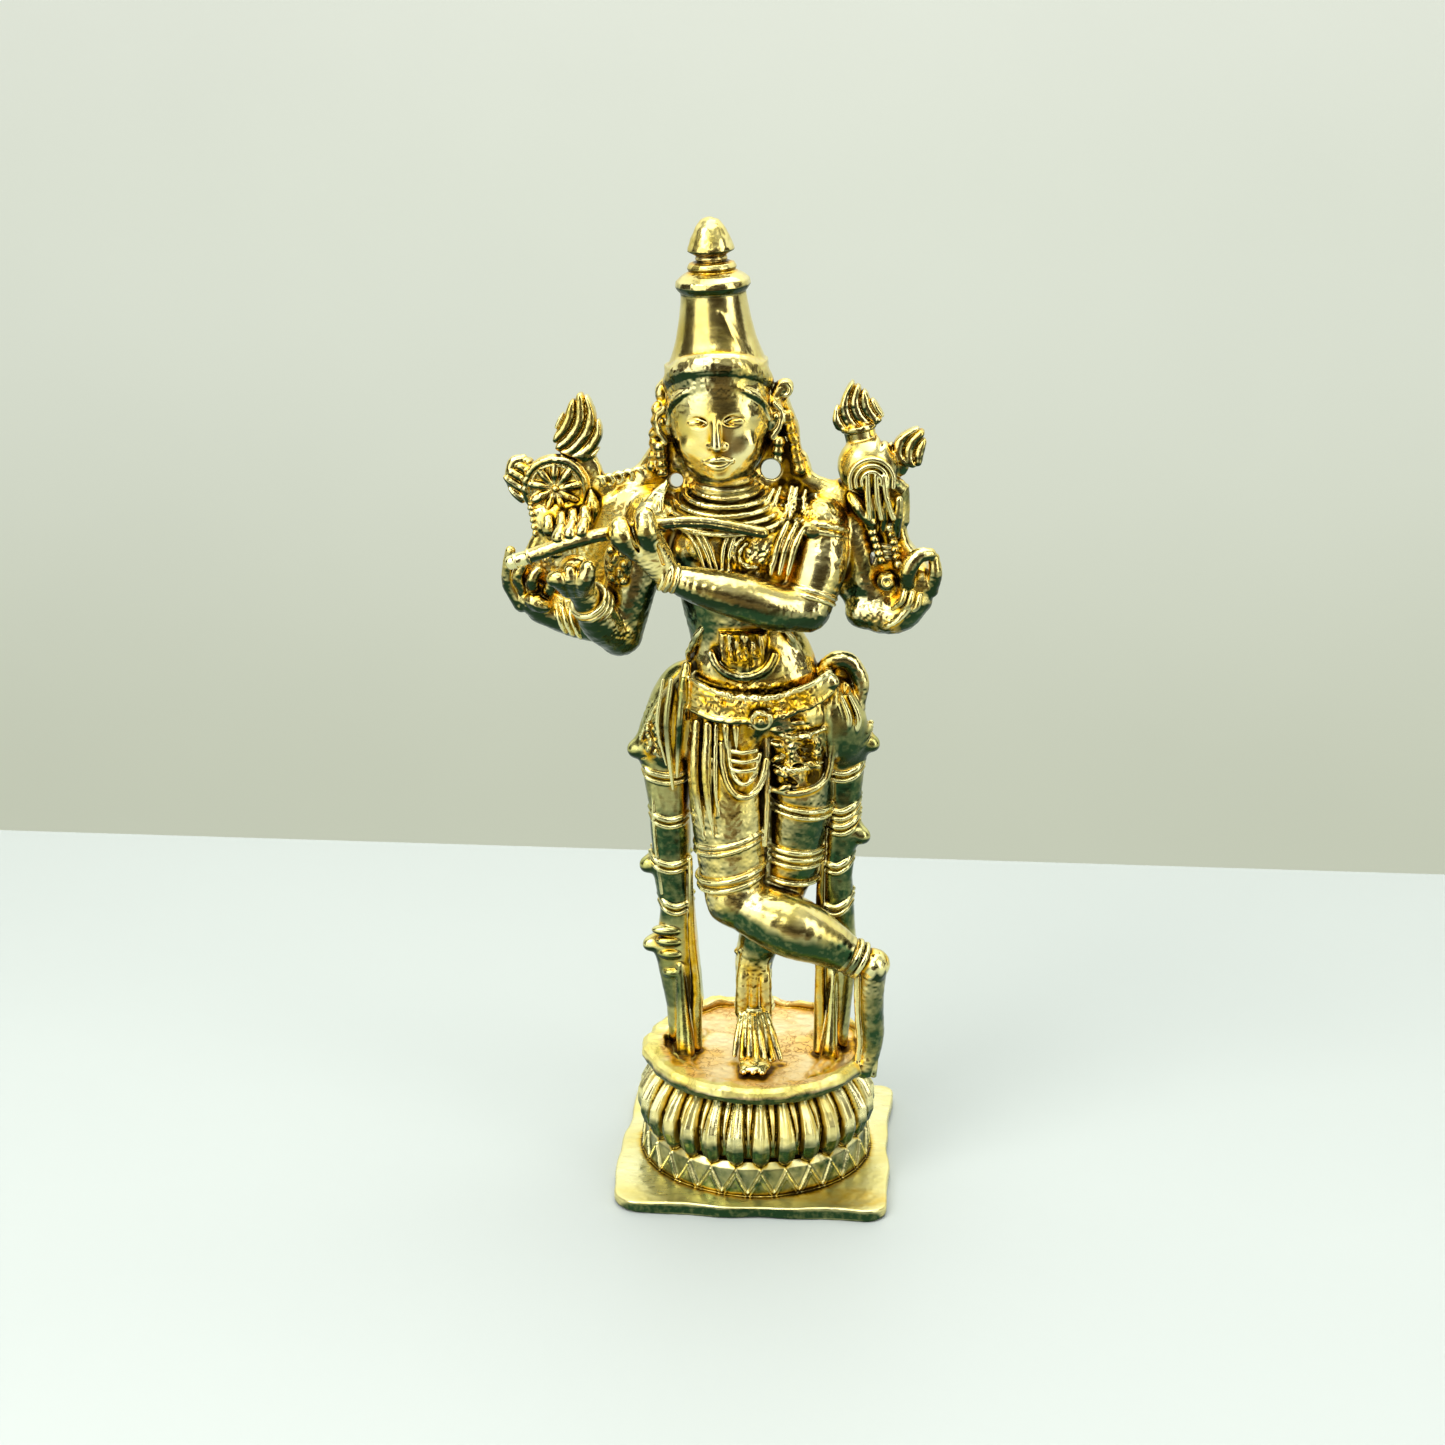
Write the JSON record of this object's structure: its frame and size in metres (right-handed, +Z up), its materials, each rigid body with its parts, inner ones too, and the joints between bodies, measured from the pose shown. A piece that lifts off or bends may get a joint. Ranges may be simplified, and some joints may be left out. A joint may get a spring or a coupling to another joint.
{
  "type": "deity statue",
  "caption": "Cast brass figure of a standing many-armed flute player with crossed legs, on a round lotus and a square plate.",
  "frame": {"origin": "centre of the square base plate's underside", "axes": "+Z up through the figure to the tip of its crown; the figure faces -Y; its own right side is at -X"},
  "size_m": [0.052, 0.0344, 0.12],
  "materials": {
    "figure_brass": "polished cast brass, bright on the raised forms, amber in the hollows",
    "plate_brass": "pale polished brass with fine scratches",
    "deck_brass": "rough as-cast brass with a reddish cast",
    "sash_brass": "polished brass with a slight green tarnish"
  },
  "bodies": {
    "root": {"base_plate": "plate_brass", "lotus_lower_petals": "plate_brass", "lotus_upper_petals": "plate_brass", "lotus_deck": "deck_brass", "flute": "figure_brass", "crown_finial": "figure_brass", "crown_upper_ring": "figure_brass", "crown_lower_ring": "figure_brass", "crown_body": "figure_brass", "diadem_band": "figure_brass", "head": "figure_brass", "hair_bun": "figure_brass", "right_ear_ornament": "figure_brass", "left_ear_ornament": "figure_brass", "standing_foot": "figure_brass", "standing_anklet": "figure_brass", "standing_shin": "figure_brass", "crossed_anklet": "figure_brass", "crossed_shin": "figure_brass", "crossed_foot": "figure_brass", "crossed_thigh": "figure_brass", "standing_thigh": "figure_brass", "neck": "figure_brass", "collar": "figure_brass", "chest": "figure_brass", "abdomen": "figure_brass", "waist_belt": "figure_brass", "hips": "figure_brass", "belt_clasp": "figure_brass", "hip_sash_band": "figure_brass", "front_left_hand": "figure_brass", "front_right_hand": "figure_brass", "front_left_bracelet": "figure_brass", "front_right_bracelet": "figure_brass", "front_left_forearm": "figure_brass", "front_left_armlet": "figure_brass", "front_left_upper_arm": "figure_brass", "front_right_forearm": "figure_brass", "front_right_upper_arm": "figure_brass", "discus": "figure_brass", "conch": "figure_brass", "discus_flame_top": "figure_brass", "discus_flame_side": "figure_brass", "conch_flame_top": "figure_brass", "conch_flame_side": "figure_brass", "rear_right_hand": "figure_brass", "rear_left_hand": "figure_brass", "lower_right_hand": "figure_brass", "lower_left_hand": "figure_brass", "rear_right_forearm": "figure_brass", "rear_left_forearm": "figure_brass", "rear_right_upper_arm": "figure_brass", "rear_left_upper_arm": "figure_brass", "right_hair_lock": "figure_brass", "left_hair_lock": "figure_brass", "right_side_sash": "sash_brass", "left_sash_knot": "figure_brass", "left_side_sash": "sash_brass"}
  },
  "joints": []
}
